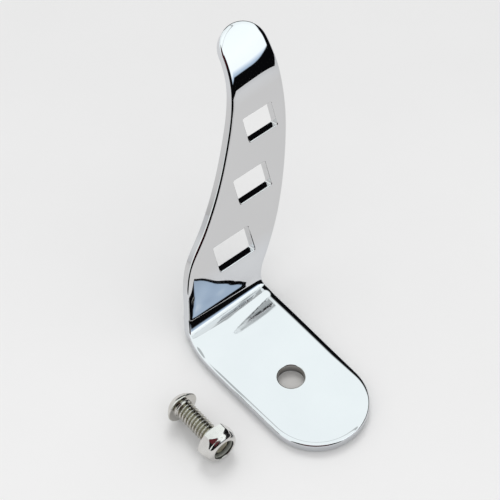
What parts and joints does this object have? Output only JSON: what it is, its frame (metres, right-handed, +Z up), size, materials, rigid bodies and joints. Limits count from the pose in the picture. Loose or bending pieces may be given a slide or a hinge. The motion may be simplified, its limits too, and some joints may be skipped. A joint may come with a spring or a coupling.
{
  "type": "wall guitar hanger",
  "caption": "Chromed steel strip bent into a flat flange with a bolt hole and a leaning, swept blade with windows and a curled tip, with its button-head bolt and lock nut.",
  "frame": {"origin": "on the flange's underside, on its centre line, 16 mm from the bolt hole's axis toward the bend", "axes": "+Z up out of the flange, +Y from the flange's round end toward the bend and the blade, +X the side the blade sweeps toward"},
  "size_m": [0.0868, 0.1031, 0.0821],
  "materials": {
    "chrome_plate": "mirror-polished chrome plate",
    "bolt_steel": "bright stainless steel with a faint warm tint, rolled thread",
    "nut_steel": "bright stainless steel, smooth turned collar",
    "nylon": "grey nylon, a little waxy"
  },
  "bodies": {
    "bracket": {"hanger_bracket": "chrome_plate"},
    "bolt": {"mounting_bolt": "bolt_steel"},
    "nut": {"lock_nut_body": "nut_steel", "nylon_insert": "nylon"}
  },
  "joints": [
    {"name": "bolt_turn", "type": "hinge", "parent": "bracket", "child": "bolt", "pos_m": [-0.0345, -0.004, 0.00555], "axis": [0, -1, 0], "range_deg": [-1361, 3756]},
    {"name": "nut_travel", "type": "slide", "parent": "bracket", "child": "nut", "axis": [0, 1, 0], "range_m": [-0.0048, 0.01325]}
  ],
  "couplings": [
    {"joint": "bolt_turn", "follows": "nut_travel", "rad_per_m": 4947.4}
  ]
}
